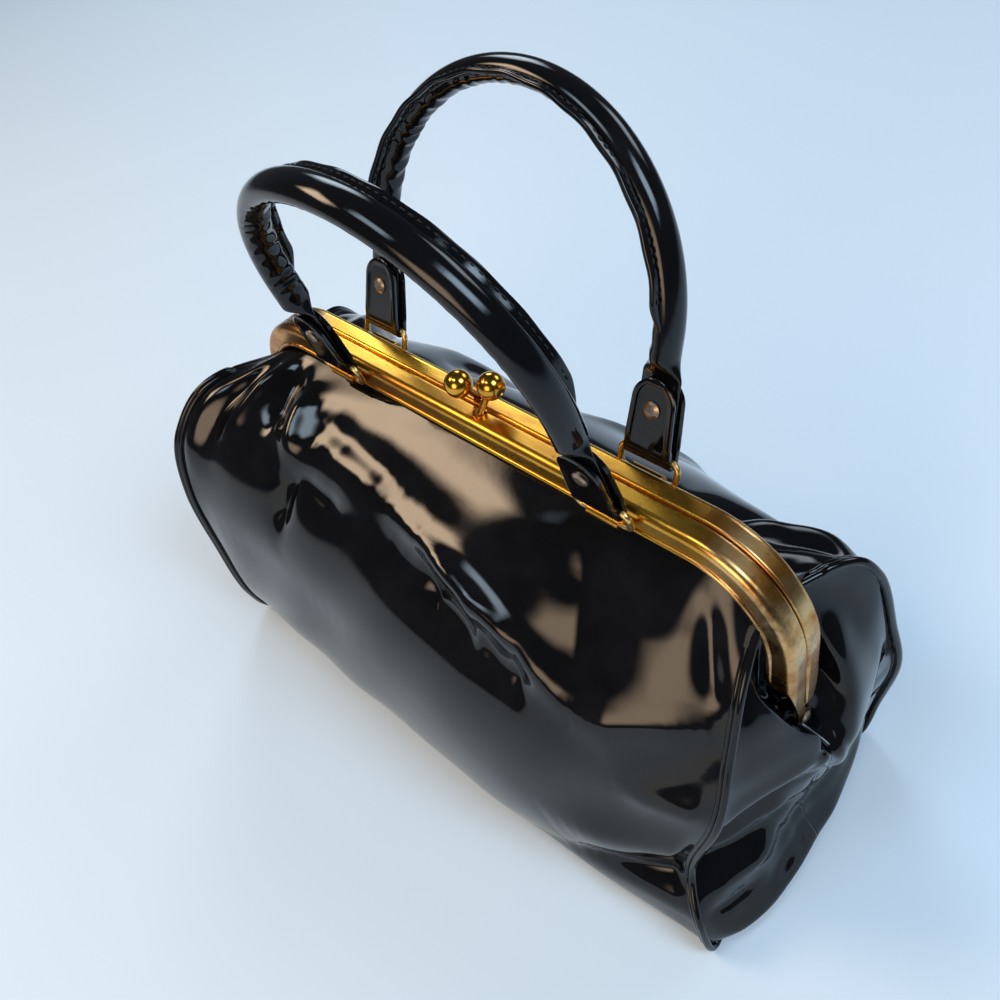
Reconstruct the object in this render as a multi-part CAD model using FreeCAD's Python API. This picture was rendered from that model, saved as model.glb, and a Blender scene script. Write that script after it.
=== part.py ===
import FreeCAD, Part
import math
import os
from FreeCAD import Vector

# Driving sizes in millimetres: +X along the bag, -Y its front, +Z up, floor at zero.
frame_length = 290.0       # over the outside of the two legs
frame_top = 172.0          # top of the closed frame
bend_radius = 42.0         # outside of each corner bend
hinge_drop = 80.0          # frame top down to the hinge axis
half_width = 9.2           # one frame half, front to back
parting = 0.3              # gap between the closed halves
channel_depth = 10.5       # how far the channel walls reach inward
wall = 1.0                 # sheet metal of the channel
crown_radius = 3.2         # outer shoulder of the channel
bead = 0.9                 # rolled edge along the outer wall
leg_stop = 7.0             # channel ends this far above the hinge axis
ear_radius = 4.0
pin_radius = 1.5
pin_play = 0.05

bag_depth = 75.6           # half depth of the bag at mid length
front_left_pinch = 2.5     # how much shallower each corner is than mid length
front_right_pinch = 20.0
rear_left_pinch = 9.0
rear_right_pinch = 17.0
foot_spread = 8.0          # the front right corner's foot stands out this much more than its rim
left_overhang = 6.0        # lower body past each end of the frame
right_overhang = 0.0
beak_reach = 13.0          # each end's fold below the hinge stands out this far past the frame
left_swell = 1.091         # each end swells past its rows by this share
right_swell = 1.044
tub_top = 72.0             # upper edge of the fixed lower body
hem = 66.0                 # lower edge of the panels that swing with the frame
ridge_height = 92.0        # where a panel turns from slope to upright
skin = 1.6                 # vinyl and backing
flat_cut = 0.15            # trimmed off the underside to leave it flat
base_round = 14.0          # rounding along the bottom edges
lining_skin = 0.8
piping_radius = 1.5
seat_gap = 0.1             # between pieces that rest on each other
swing_gap = 1.6            # between the swinging panels and the lower body
end_gap = 0.9              # between their end wings and the gussets
wing_gap = 0.3             # between a panel's end and its wing
leg_gap = 2.8              # between a wing and the frame's leg
gusset_inset = 2.0         # gusset edge in from the lower body's end
board_thick = 2.2
tray_height = 20.0         # turned up edge of the floor lining

ring_place = 71.0          # ring centre from mid length
ring_half = 12.3           # wire centre line, half length
ring_rise = 9.0            # lower bar to upper bar
wire_radius = 1.2
lug_drop = 7.0             # lug axis below the frame top
lug_radius = 2.3
lug_length = 14.0

ball_radius = 5.6
ball_place = Vector(5.9, 2.9, frame_top + 11.0)
post_radius = 1.4
foot_place = Vector(3.4, -3.4, frame_top)

front_lean = 12.0          # how far each handle leans from upright
rear_lean = 19.0
handle_leg = 43.0          # upper ring bar to the start of the arch
grip_radial = 5.5          # half thickness of the padded grip, seen from the front
grip_side = 7.5            # half width, front to back
cover = 1.2                # vinyl round the core
flat_half = 1.15           # half thickness of the grip's flattened end
tab_skin = 1.65
tab_length = 29.0
rivet_rise = 18.0

hinge_z = frame_top - hinge_drop
bend_z = frame_top - bend_radius
straight = frame_length / 2 - bend_radius
left_end = frame_length / 2 + left_overhang
right_end = frame_length / 2 + right_overhang
panel_end = straight + 0.889 * (bend_radius - channel_depth)
outer_y = -(parting / 2 + half_width)
inner_y = -parting / 2
lug_y = outer_y - lug_radius
lug_z = frame_top - lug_drop

# The sides sag unevenly. Each station: its place along the panel, then how far across and down the shoulder,
# the slope, the crease and the ridge lie, from the channel's mouth (0, 0) to full depth at ridge height (1, 1).
front_shape = (
    (-1.00, (0.47, -0.08), (0.87, 0.24), (0.955, 0.58), (0.985, 0.88)),
    (-0.89, (0.40, 0.07), (0.82, 0.38), (0.93, 0.65), (0.98, 0.90)),
    (-0.79, (0.335, 0.16), (0.74, 0.43), (0.89, 0.67), (0.97, 0.91)),    # gather below the bend
    (-0.68, (0.345, 0.07), (0.735, 0.41), (0.87, 0.675), (0.965, 0.915)),
    (-0.40, (0.27, 0.12), (0.63, 0.44), (0.82, 0.69), (0.94, 0.93)),
    (0.00, (0.26, 0.11), (0.60, 0.45), (0.80, 0.69), (0.93, 0.93)),
    (0.20, (0.26, 0.12), (0.66, 0.39), (0.81, 0.68), (0.95, 0.93)),      # long fold over a sunk crease
    (0.40, (0.26, 0.13), (0.62, 0.44), (0.775, 0.72), (0.93, 0.94)),
    (0.60, (0.26, 0.16), (0.585, 0.535), (0.76, 0.76), (0.915, 0.975)),
    (0.79, (0.26, 0.18), (0.625, 0.555), (0.75, 0.82), (0.895, 1.01)),   # crease that runs into the pinched end
    (0.89, (0.32, 0.195), (0.61, 0.615), (0.755, 0.89), (0.91, 1.09)),
    (1.00, (0.33, 0.18), (0.62, 0.69), (0.785, 0.96), (0.88, 1.22)),
)
rear_shape = (
    (-1.00, (0.39, -0.02), (0.71, 0.37), (0.875, 0.69), (0.97, 1.00)),
    (-0.89, (0.355, 0.12), (0.645, 0.48), (0.845, 0.715), (0.96, 0.97)),
    (-0.79, (0.275, 0.19), (0.655, 0.455), (0.85, 0.695), (0.95, 0.95)),  # gather below the bend
    (-0.66, (0.305, 0.115), (0.655, 0.435), (0.84, 0.695), (0.945, 0.945)),
    (-0.40, (0.27, 0.12), (0.645, 0.425), (0.82, 0.685), (0.93, 0.93)),
    (-0.12, (0.26, 0.11), (0.605, 0.45), (0.80, 0.69), (0.925, 0.93)),
    (0.10, (0.26, 0.11), (0.665, 0.385), (0.845, 0.66), (0.95, 0.93)),    # fold that runs down to the right
    (0.28, (0.265, 0.115), (0.645, 0.41), (0.89, 0.635), (0.97, 0.92)),
    (0.45, (0.28, 0.12), (0.64, 0.42), (0.85, 0.66), (0.94, 0.92)),
    (0.66, (0.31, 0.11), (0.64, 0.415), (0.825, 0.665), (0.935, 0.92)),
    (0.79, (0.29, 0.175), (0.645, 0.42), (0.84, 0.66), (0.94, 0.92)),     # gather below the other bend
    (0.89, (0.38, 0.08), (0.655, 0.35), (0.83, 0.64), (0.92, 0.93)),
    (1.00, (0.415, -0.04), (0.68, 0.165), (0.815, 0.59), (0.89, 0.96)),
)


# How far each end stands out at five places from front to rear, as shares of its beak: rows from the floor up
# to the lid of the fold below the hinge.
left_folds = (
    (0.10, 0.15, 0.15, 0.12, 0.06),
    (0.00, 0.20, 0.30, 0.35, 0.24),
    (-0.20, 0.00, 0.00, 0.10, 0.10),
    (0.14, -0.25, -0.10, -0.30, 0.08),
    (0.06, 0.00, 0.40, -0.30, 0.06),
    (0.06, 0.70, 1.00, 0.20, 0.06),
    (0.06, 0.70, 0.86, 0.25, 0.06),
    (0.00, 0.12, 0.16, 0.08, 0.00),
)
right_folds = (
    (0.10, 0.15, 0.15, 0.12, 0.06),
    (0.42, 0.62, 0.60, 0.50, 0.24),
    (0.36, 0.50, 0.44, 0.40, 0.18),
    (0.14, 0.30, 0.34, 0.30, 0.14),
    (0.05, 0.30, 0.68, 0.56, 0.20),
    (0.06, 0.45, 1.00, 0.86, 0.28),
    (0.06, 0.58, 0.86, 0.78, 0.26),
    (0.0, 0.12, 0.16, 0.12, 0.05),
)


def line(a, b):
    return Part.makeLine(a, b)


def arc(a, via, b):
    return Part.Arc(a, via, b).toShape()


def wire(edges):
    return Part.Wire(edges)


def polygon(points):
    return Part.makePolygon(points + points[:1])


def prism(points, direction):
    return Part.Face(polygon(points)).extrude(direction)


def rod(start, end, radius):
    axis = end.sub(start)
    return Part.makeCylinder(radius, axis.Length, start, axis)


def along_x(x0, x1, y, z, radius):
    return rod(Vector(x0, y, z), Vector(x1, y, z), radius)


def spline(points):
    curve = Part.BSplineCurve()
    curve.interpolate(points)
    return curve.toShape()


def mirror_x(shape):
    return shape.mirror(Vector(0, 0, 0), Vector(1, 0, 0))


def mirror_y(shape):
    return shape.mirror(Vector(0, 0, 0), Vector(0, 1, 0))


def fuse(shapes):
    joined = shapes[0]
    for shape in shapes[1:]:
        joined = joined.fuse(shape)
    return joined.removeSplitter()


def arch_path(y, depth, foot):
    # centre line of the frame, depth below its outer face, from foot to foot
    r = bend_radius - depth
    side = frame_length / 2 - depth
    d = r * math.sqrt(0.5)
    return wire([
        line(Vector(-side, y, foot), Vector(-side, y, bend_z)),
        arc(Vector(-side, y, bend_z), Vector(-straight - d, y, bend_z + d), Vector(-straight, y, bend_z + r)),
        line(Vector(-straight, y, bend_z + r), Vector(straight, y, bend_z + r)),
        arc(Vector(straight, y, bend_z + r), Vector(straight + d, y, bend_z + d), Vector(side, y, bend_z)),
        line(Vector(side, y, bend_z), Vector(side, y, foot)),
    ])


def channel():
    # rolled U section carried along the frame's outer line
    foot = hinge_z + leg_stop

    def p(u, y):
        return Vector(-frame_length / 2 + u, y, foot)

    h, r, s = channel_depth, crown_radius, 1.5
    k = 1 - math.sqrt(0.5)
    section = wire([
        line(p(h, outer_y + wall), p(h, outer_y)),
        arc(p(h, outer_y), p(h - 1.1, outer_y - bead), p(h - 2.2, outer_y)),
        line(p(h - 2.2, outer_y), p(r, outer_y)),
        arc(p(r, outer_y), p(r * k, outer_y + r * k), p(0, outer_y + r)),
        line(p(0, outer_y + r), p(0, inner_y - s)),
        arc(p(0, inner_y - s), p(s * k, inner_y - s * k), p(s, inner_y)),
        line(p(s, inner_y), p(h, inner_y)),
        line(p(h, inner_y), p(h, inner_y - wall)),
        line(p(h, inner_y - wall), p(wall, inner_y - wall)),
        line(p(wall, inner_y - wall), p(wall, outer_y + wall)),
        line(p(wall, outer_y + wall), p(h, outer_y + wall)),
    ])
    shape = arch_path((outer_y + inner_y) / 2, 0.0, foot).makePipeShell([section], True, False)
    reach = frame_length
    taper = prism([Vector(-reach, outer_y - 2, foot - 1), Vector(-reach, outer_y - 2, foot + 26),
                   Vector(-reach, outer_y + 4.8, foot - 1)], Vector(2 * reach, 0, 0))
    return shape.cut(taper)


def ear(depth):
    # flat hinge ear at the right leg, depth in from the outer face
    x = frame_length / 2 - depth - wall
    foot = hinge_z + leg_stop
    tongue = prism([Vector(x, -4.4, foot + 2), Vector(x, -0.5, foot + 2), Vector(x, -0.5, foot - 1),
                    Vector(x, 3.2, hinge_z + 2.4), Vector(x, -4.0, hinge_z)], Vector(wall, 0, 0))
    plate = tongue.fuse(along_x(x, x + wall, 0, hinge_z, ear_radius))
    if depth > 0:
        joggle = Part.makeBox(depth + wall - 0.5, 2.9, 2, Vector(x, -4.3, foot))
        plate = plate.fuse(joggle)
    return plate.cut(along_x(x - 1, x + 3, 0, hinge_z, pin_radius + pin_play))


def frame_half(ear_depth):
    right = ear(ear_depth)
    return fuse([channel(), right, mirror_x(right)])


def hinge_rivet():
    # right hand rivet: pin through both ears with a head at each end
    tail = frame_length / 2 - 2.5
    face = frame_length / 2 + 0.15
    pin = along_x(tail - 0.8, face + 0.4, 0, hinge_z, pin_radius)
    head = along_x(face, face + 0.5, 0, hinge_z, 2.9)
    crown = Part.makeCone(2.9, 1.6, 0.7, Vector(face + 0.5, 0, hinge_z), Vector(1, 0, 0))
    return fuse([pin, head, crown, along_x(tail - 0.8, tail, 0, hinge_z, 2.6)])


def slot_height(radius, x):
    beyond = max(0.0, abs(x) - straight)
    return bend_z + math.sqrt(radius * radius - beyond * beyond)


def reach(side, x, foot=False):
    # half depth of the front or rear at x, at the rim of the lower body or at its foot
    left, right = (front_left_pinch, front_right_pinch) if side == "front" else (rear_left_pinch, rear_right_pinch)
    if foot and side == "front":
        right -= foot_spread
    return bag_depth - (left * (-x / left_end) ** 3 if x < 0 else right * (x / right_end) ** 3)


def panel_curve(side, station, cut):
    # side of the bag at a station and cut in from its face, from inside the channel down to the hem;
    # the end curves lie in an upright plane that leans out, so the panel is longer at its hem than in the frame
    place, shoulder, slope, crease, ridge = station
    x = place * panel_end
    hem_end = (left_end if place < 0 else right_end) - gusset_inset - 2 * skin - end_gap - wing_gap
    flare = math.copysign((hem_end - panel_end) * abs(place) ** 8, place)
    deep = reach(side, x + flare) - skin - swing_gap
    neck = inner_y - 5.4
    top = slot_height(bend_radius - channel_depth, x) - 1.5

    def between(part):
        return Vector(0, neck + (-deep - neck) * part[0], top + (ridge_height - top) * part[1])

    points = [Vector(0, neck, slot_height(bend_radius - 4.5, x)), Vector(0, neck, top), between(shoulder),
              between(slope), between(crease), between(ridge), Vector(0, -deep, hem)]
    moved = []
    for i, p in enumerate(points):
        step = points[min(i + 1, len(points) - 1)].sub(points[max(i - 1, 0)])
        y = p.y - step.z / step.Length * cut
        moved.append(Vector(x + flare * (neck - y) / (neck + deep), y, p.z + step.y / step.Length * cut))
    return moved


def panel_sheet(side, shape, start, thickness):
    sections = []
    for station in shape:
        near = panel_curve(side, station, start)
        far = panel_curve(side, station, start + thickness)
        sections.append(wire([spline(near), line(near[-1], far[-1]), spline(far[::-1]), line(far[0], near[0])]))
    return Part.makeLoft(sections, True, False)


def wing(side, station):
    # gusset half: closes the panel's end and runs in to the frame leg
    way = math.copysign(1, station[0])
    seam = panel_curve(side, station, 0.6)[2:]
    outer = spline([p.add(Vector(wing_gap * way, 0, 0)) for p in seam])
    leg = way * (frame_length / 2 - channel_depth - skin - leg_gap)
    top = slot_height(bend_radius - channel_depth, leg) - 11.0
    inner = line(Vector(leg, inner_y - 3.4, top), Vector(leg, inner_y - 1.0, hinge_z + 1.0))
    return Part.makeRuledSurface(outer, inner).extrude(Vector(skin * way, 0, 0))


def wall_profile(side, x, cut):
    # one wall as seen along X, cut in from its outer face: rim, foot of the wall, middle of the bend, floor
    rim, foot = reach(side, x), reach(side, x, True)
    spread = foot - rim
    length = math.hypot(spread, tub_top)
    along = 1 - base_round * (1 + spread / length) / tub_top
    centre = rim + spread * along - base_round * tub_top / length
    r = base_round - cut
    out = Vector(0, tub_top / length, spread / length)
    half = out.sub(Vector(0, 0, 1)).normalize()
    middle = Vector(x, centre, base_round)
    points = [Vector(x, rim - cut * length / tub_top, tub_top), middle.add(out * r), middle.add(half * r),
              Vector(x, centre, cut)]
    return points if side == "rear" else [Vector(p.x, -p.y, p.z) for p in points]


def tub_section(x, cut):
    # lower body as seen along X: front wall, floor, rear wall
    a, b, c, d = wall_profile("front", x, cut)
    h, g, f, e = wall_profile("rear", x, cut)
    return [line(a, b), arc(b, c, d), line(d, e), arc(e, f, g), line(g, h)]


def base_wrap():
    # front wall, floor and rear wall in one sheet, with a flat underside
    sections = []
    for x in (-left_end, -0.6 * left_end, -0.25 * left_end, 0.25 * right_end, 0.6 * right_end, right_end):
        rims = [line(wall_profile(side, x, 0.0)[0], wall_profile(side, x, skin)[0]) for side in ("front", "rear")]
        sections.append(Part.Wire(Part.__sortEdges__(tub_section(x, 0.0) + tub_section(x, skin) + rims)))
    sheet = Part.makeLoft(sections, True, False)
    sheet.translate(Vector(0, 0, -flat_cut))
    return sheet.cut(Part.makeBox(4 * left_end, 4 * bag_depth, 10, Vector(-2 * left_end, -2 * bag_depth, -10)))


def gusset(way):
    # one end: a sheet that is drawn in at half height, stands out in a fold below the hinge and turns in over it
    edge = (right_end if way > 0 else left_end) - gusset_inset
    beak = (frame_length / 2 + beak_reach - edge) / (right_swell if way > 0 else left_swell)
    lid = hinge_z - ear_radius - 3.0
    heights = (2 * piping_radius + 0.8, 0.55 * base_round, 1.1 * base_round, 0.47 * tub_top, 0.74 * tub_top,
               0.95 * tub_top, lid - 6, lid)
    margins = (11.0, 4.8, 2.4, 0.6, 0.4, 0.5, 5.0, 17.0)
    sections = []
    for z, narrow, out in zip(heights, margins, right_folds if way > 0 else left_folds):
        part = z / tub_top
        front, rear = (reach(side, way * edge, True) * (1 - part) + reach(side, way * edge) * part
                       - skin - 4 * seat_gap - narrow for side in ("front", "rear"))
        across = [-front, -0.65 * front, -0.3 * front, 0, 0.3 * rear, 0.65 * rear, rear]
        stand = [0] + [beak * share for share in out] + [0]
        a = [Vector(way * (edge + s), y, z) for s, y in zip(stand, across)]
        b = [Vector(way * (edge + s - skin), y, z) for s, y in zip(stand, across)]
        sections.append(wire([spline(a), line(a[-1], b[-1]), spline(b[::-1]), line(b[0], a[0])]))
    return Part.makeLoft(sections, True, False)


def piping(way):
    # cord along one end, up both corners and across the bottom
    end = way * (right_end if way > 0 else left_end)
    path = wire(tub_section(end, piping_radius + 0.1))
    path.translate(Vector(way * (piping_radius + 0.05), 0, 0))
    start = path.Edges[0]
    ring = Part.makeCircle(piping_radius, start.valueAt(start.FirstParameter), start.tangentAt(start.FirstParameter))
    return path.makePipeShell([wire([ring])], True, False)


def floor_prism(margin, low, high):
    # slab on the floor of the bag, margin in from the lower body's ends and corners
    left, right = left_end - 9.0 - margin, right_end - 9.0 - margin
    inward = base_round - 5.0 + margin
    front = [Vector(x, inward - reach("front", x, True), low) for x in (-left, 0, right)]
    rear = [Vector(x, reach("rear", x, True) - inward, low) for x in (right, 0, -left)]
    return prism(front + rear, Vector(0, 0, high - low))


def base_board():
    return floor_prism(5.0, skin + seat_gap, skin + seat_gap + board_thick)


def base_lining():
    floor = skin + 2 * seat_gap + board_thick
    inside = floor_prism(lining_skin, floor + lining_skin, floor + tray_height + 1)
    return floor_prism(0.0, floor, floor + tray_height).cut(inside)


def channel_cord():
    radius = 1.2
    y = outer_y + wall + radius + 0.05
    foot = bend_z - 2.0
    path = arch_path(y, 6.0, foot)
    start = Vector(-frame_length / 2 + 6.0, y, foot)
    return path.makePipeShell([wire([Part.makeCircle(radius, start, Vector(0, 0, 1))])], True, False)


def clasp():
    # post with a round foot on the front half, and its dished ball
    foot = rod(foot_place, foot_place.add(Vector(0, 0, 1.2)), 2.8)
    start = foot_place.add(Vector(0, 0, 0.6))
    post = foot.fuse(rod(start, ball_place, post_radius))
    ball = Part.makeSphere(ball_radius, ball_place)
    flat = ball_place.x + 4.5
    ball = ball.cut(Part.makeBox(9, 20, 20, Vector(flat, ball_place.y - 10, ball_place.z - 10)))
    ball = ball.cut(Part.makeSphere(4.0, Vector(flat + 2.7, ball_place.y, ball_place.z)))
    return post, ball.cut(post)


def lug():
    # saddle with a bore for the ring's lower bar
    half = lug_length / 2
    knuckle = along_x(ring_place - half, ring_place + half, lug_y, lug_z, lug_radius)
    web = Part.makeBox(lug_length, outer_y - lug_y, 4.2, Vector(ring_place - half, lug_y, lug_z - 1.1))
    return knuckle.fuse(web).cut(along_x(ring_place - 20, ring_place + 20, lug_y, lug_z, wire_radius + pin_play))


def wire_ring():
    # rounded oblong of wire standing on its lower bar, which is at the local origin
    a, h, r = ring_half, ring_rise, 3.0
    k = r * (1 - math.sqrt(0.5))

    def p(x, z):
        return Vector(ring_place + x, 0, z)

    path = wire([
        line(p(0, 0), p(a - r, 0)), arc(p(a - r, 0), p(a - k, k), p(a, r)), line(p(a, r), p(a, h - r)),
        arc(p(a, h - r), p(a - k, h - k), p(a - r, h)), line(p(a - r, h), p(r - a, h)),
        arc(p(r - a, h), p(k - a, h - k), p(-a, h - r)), line(p(-a, h - r), p(-a, r)),
        arc(p(-a, r), p(k - a, k), p(r - a, 0)), line(p(r - a, 0), p(0, 0)),
    ])
    return path.makePipeShell([wire([Part.makeCircle(wire_radius, p(0, 0), Vector(1, 0, 0))])], True, False)


def handle_path(foot):
    r = ring_place
    d = r * math.sqrt(0.5)
    return wire([
        line(Vector(-r, 0, foot), Vector(-r, 0, handle_leg)),
        arc(Vector(-r, 0, handle_leg), Vector(-d, 0, handle_leg + d), Vector(0, 0, handle_leg + r)),
        arc(Vector(0, 0, handle_leg + r), Vector(d, 0, handle_leg + d), Vector(r, 0, handle_leg)),
        line(Vector(r, 0, handle_leg), Vector(r, 0, foot)),
    ])


def oval(x, z, along, across):
    # oval in the plane at height z, half sizes along X and across it, always starting on the X side
    stretch = FreeCAD.Matrix()
    stretch.scale(along, across, 1)
    ring = Part.makeCircle(1.0).transformGeometry(stretch)
    ring.translate(Vector(x, 0, z))
    return wire(ring.Edges)


def grip_and_core():
    start = 41.0
    tube = handle_path(start).makePipeShell([oval(-ring_place, start, grip_radial, grip_side)], True, False)
    core = handle_path(start + 1).makePipeShell(
        [oval(-ring_place, start + 1, grip_radial - cover, grip_side - cover)], True, False)
    ends = []
    for x in (-ring_place, ring_place):
        flat = oval(x, 29.6, 8.0, flat_half)
        strap = Part.Face(oval(x, 5, 8.0, flat_half)).extrude(Vector(0, 0, 24.6))
        flare = Part.makeLoft([flat, oval(x, 35, 7.0, 4.6), oval(x, start + 1, grip_radial - 0.1, grip_side - 0.1)],
                              True, False)
        hole = rod(Vector(x, -5, rivet_rise), Vector(x, 5, rivet_rise), 1.65)
        ends += [strap.cut(hole), flare]
    return fuse([tube] + ends).cut(core), core, tube


def welt(tube):
    # stitched flange along the side of the grip that faces the other handle
    start = 42.0
    x = -ring_place
    strip = polygon([Vector(x - 1, grip_side - 0.6, start), Vector(x + 1, grip_side - 0.6, start),
                     Vector(x + 1, grip_side + 3.4, start), Vector(x - 1, grip_side + 3.4, start)])
    return handle_path(start).makePipeShell([strip], True, False).cut(tube)


def tab():
    # strap folded round the ring's upper bar, with rounded ends
    o, i, x = wire_radius + 0.1 + tab_skin, wire_radius + 0.1, ring_place - 12
    top = tab_length + 1

    def p(y, z):
        return Vector(x, y, z)

    fold = wire([line(p(-o, top), p(-o, 0)), arc(p(-o, 0), p(0, -o), p(o, 0)), line(p(o, 0), p(o, top)),
                 line(p(o, top), p(i, top)), line(p(i, top), p(i, 0)), arc(p(i, 0), p(0, -i), p(-i, 0)),
                 line(p(-i, 0), p(-i, top)), line(p(-i, top), p(-o, top))])
    strap = Part.Face(fold).extrude(Vector(24, 0, 0))
    c, w = ring_place, 8.8

    def q(u, z):
        return Vector(c + u, -6, z)

    outline = wire([line(q(-10, -5), q(10, -5)), line(q(10, -5), q(w, tab_length - w)),
                    arc(q(w, tab_length - w), q(0, tab_length), q(-w, tab_length - w)),
                    line(q(-w, tab_length - w), q(-10, -5))])
    strap = strap.common(Part.Face(outline).extrude(Vector(0, 12, 0)))
    return strap.cut(rod(Vector(c, -6, rivet_rise), Vector(c, 6, rivet_rise), 1.65))


def tab_rivet():
    o = wire_radius + 0.1 + tab_skin + 0.02
    parts = [rod(Vector(ring_place, -o - 0.2, rivet_rise), Vector(ring_place, o + 0.2, rivet_rise), 1.6)]
    for s in (-1, 1):
        face = Vector(ring_place, s * o, rivet_rise)
        rim = Vector(ring_place, s * (o + 0.5), rivet_rise)
        parts.append(rod(face, rim, 3.2))
        parts.append(Part.makeCone(3.2, 2.0, 0.7, rim, Vector(0, s, 0)))
    return fuse(parts)


def place(shape, lean, side, rise):
    # lean about the lug axis; rise is how far above that axis the local origin stands
    copy = shape.copy()
    copy.translate(Vector(0, 0, rise))
    copy.rotate(Vector(0, 0, 0), Vector(1, 0, 0), -side * lean)
    copy.translate(Vector(0, -side * lug_y, lug_z))
    return copy


def save(name, shape):
    solid = shape.Solids[0] if len(shape.Solids) == 1 else shape
    if not solid.isValid() or len(shape.Solids) != 1:
        print("look at", name, len(shape.Solids), solid.isValid())
    solid.exportStep("parts/" + name + ".step")


os.makedirs("parts", exist_ok=True)

save("base_wrap", base_wrap())
for end, way in (("left_", -1), ("right_", 1)):
    save(end + "gusset", gusset(way))
    save(end + "piping", piping(way))
right_rivet = hinge_rivet()
save("right_hinge_rivet", right_rivet)
save("left_hinge_rivet", mirror_x(right_rivet))
save("base_board", base_board())
save("base_lining", base_lining())

for side, shape in (("front", front_shape), ("rear", rear_shape)):
    for name, made in (("panel", panel_sheet(side, shape, 0.0, skin)),
                       ("lining", panel_sheet(side, shape, skin + 0.15, lining_skin)),
                       ("left_wing", wing(side, shape[0])), ("right_wing", wing(side, shape[-1]))):
        save(side + "_" + name, made if side == "front" else mirror_y(made))
cord = channel_cord()
post, ball = clasp()
right_lug = lug()
save("front_frame", frame_half(0.0))
save("rear_frame", mirror_y(frame_half(wall + 0.3)))
for name, shape in (("channel_cord", cord), ("right_lug", right_lug), ("left_lug", mirror_x(right_lug))):
    save("front_" + name, shape)
    save("rear_" + name, mirror_y(shape))
for name, shape in (("clasp_post", post), ("clasp_ball", ball)):
    save("front_" + name, shape)
    save("rear_" + name, mirror_x(mirror_y(shape)))

grip, core, tube = grip_and_core()
edge = welt(tube)
right_ring, right_tab, right_rivet = wire_ring(), tab(), tab_rivet()
for end, lean, side in (("front_", front_lean, -1), ("rear_", rear_lean, 1)):
    save(end + "right_ring", place(right_ring, lean, side, 0.0))
    save(end + "left_ring", place(mirror_x(right_ring), lean, side, 0.0))
    save(end + "grip", place(grip, lean, side, ring_rise))
    save(end + "core", place(core, lean, side, ring_rise))
    save(end + "welt", place(edge if side < 0 else mirror_y(edge), lean, side, ring_rise))
    for name, shape in (("tab", right_tab), ("rivet", right_rivet)):
        save(end + "right_" + name, place(shape, lean, side, ring_rise))
        save(end + "left_" + name, place(mirror_x(shape), lean, side, ring_rise))
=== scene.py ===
import math
import bpy
import numpy as np
from mathutils import Matrix, Vector


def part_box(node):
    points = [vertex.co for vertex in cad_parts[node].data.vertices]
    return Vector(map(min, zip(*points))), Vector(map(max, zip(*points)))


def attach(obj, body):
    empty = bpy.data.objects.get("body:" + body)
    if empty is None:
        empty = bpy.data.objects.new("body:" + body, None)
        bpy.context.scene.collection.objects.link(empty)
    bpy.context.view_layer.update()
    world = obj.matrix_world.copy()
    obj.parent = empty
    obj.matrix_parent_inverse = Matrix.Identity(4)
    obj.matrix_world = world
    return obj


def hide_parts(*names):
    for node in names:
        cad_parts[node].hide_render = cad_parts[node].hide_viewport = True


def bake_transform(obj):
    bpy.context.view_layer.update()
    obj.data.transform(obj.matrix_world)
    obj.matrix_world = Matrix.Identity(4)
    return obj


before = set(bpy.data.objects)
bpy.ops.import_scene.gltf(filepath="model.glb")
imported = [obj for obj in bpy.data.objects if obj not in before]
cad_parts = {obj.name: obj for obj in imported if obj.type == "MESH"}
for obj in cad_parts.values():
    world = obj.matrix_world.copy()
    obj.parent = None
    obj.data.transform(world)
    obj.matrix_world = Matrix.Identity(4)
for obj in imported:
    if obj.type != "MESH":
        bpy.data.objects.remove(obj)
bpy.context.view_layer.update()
mm = 0.001
print("stage: frame loaded,", len(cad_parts), "nodes")

# sizes shared with the solids, in millimetres
metal = {
    "length": 290.0, "top": 172.0, "bend": 42.0, "hinge": 92.0,
    "half": 9.2, "parting": 0.3, "deep": 10.5,
}
straight = metal["length"] / 2 - metal["bend"]
bendZ = metal["top"] - metal["bend"]
outerY = metal["parting"] / 2 + metal["half"]


# a curve through the given values: cubic between knots, slopes from the neighbours
def through(knots, values, t):
    k = np.asarray(knots, float)
    v = np.asarray(values, float)
    t = np.clip(np.asarray(t, float), k[0], k[-1])
    slope = np.gradient(v, k, axis=0)
    i = np.clip(np.searchsorted(k, t, side="right") - 1, 0, len(k) - 2)
    h = k[i + 1] - k[i]
    s = (t - k[i]) / h
    shape = s.shape + (1,) * (v.ndim - 1)
    s, h = s.reshape(shape), h.reshape(shape)
    return ((1 + 2 * s) * (1 - s) ** 2 * v[i] + s * (1 - s) ** 2 * h * slope[i]
            + s * s * (3 - 2 * s) * v[i + 1] + s * s * (s - 1) * h * slope[i + 1])


# eased step from 0 to 1 between a and b: three times the share squared, less twice its cube
def ease(a, b, t):
    s = np.clip((t - a) / (b - a), 0, 1)
    return s * s * (3 - 2 * s)


# a round hump of height 1 at c: e to the minus square of the distance from c over the half width w
def hump(t, c, w):
    return np.exp(-((t - c) / w) ** 2)


# grid of points (rows, columns, xyz) in millimetres to a smooth mesh: each cell is one quad
def gridPiece(name, points, material, wrapColumns=False, flip=False, inside=None):
    p = np.asarray(points, float) * mm
    rows, columns = p.shape[:2]
    a = np.arange(rows * columns).reshape(rows, columns)
    a = np.concatenate([a, a[:, :1]], 1) if wrapColumns else a
    quads = np.stack([a[:-1, :-1], a[1:, :-1], a[1:, 1:], a[:-1, 1:]], -1).reshape(-1, 4)
    if flip:
        quads = quads[:, ::-1]
    mesh = bpy.data.meshes.new(name)
    mesh.from_pydata(p.reshape(-1, 3).tolist(), [], quads.tolist())
    return finishMesh(name, mesh, material, inside)


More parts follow.
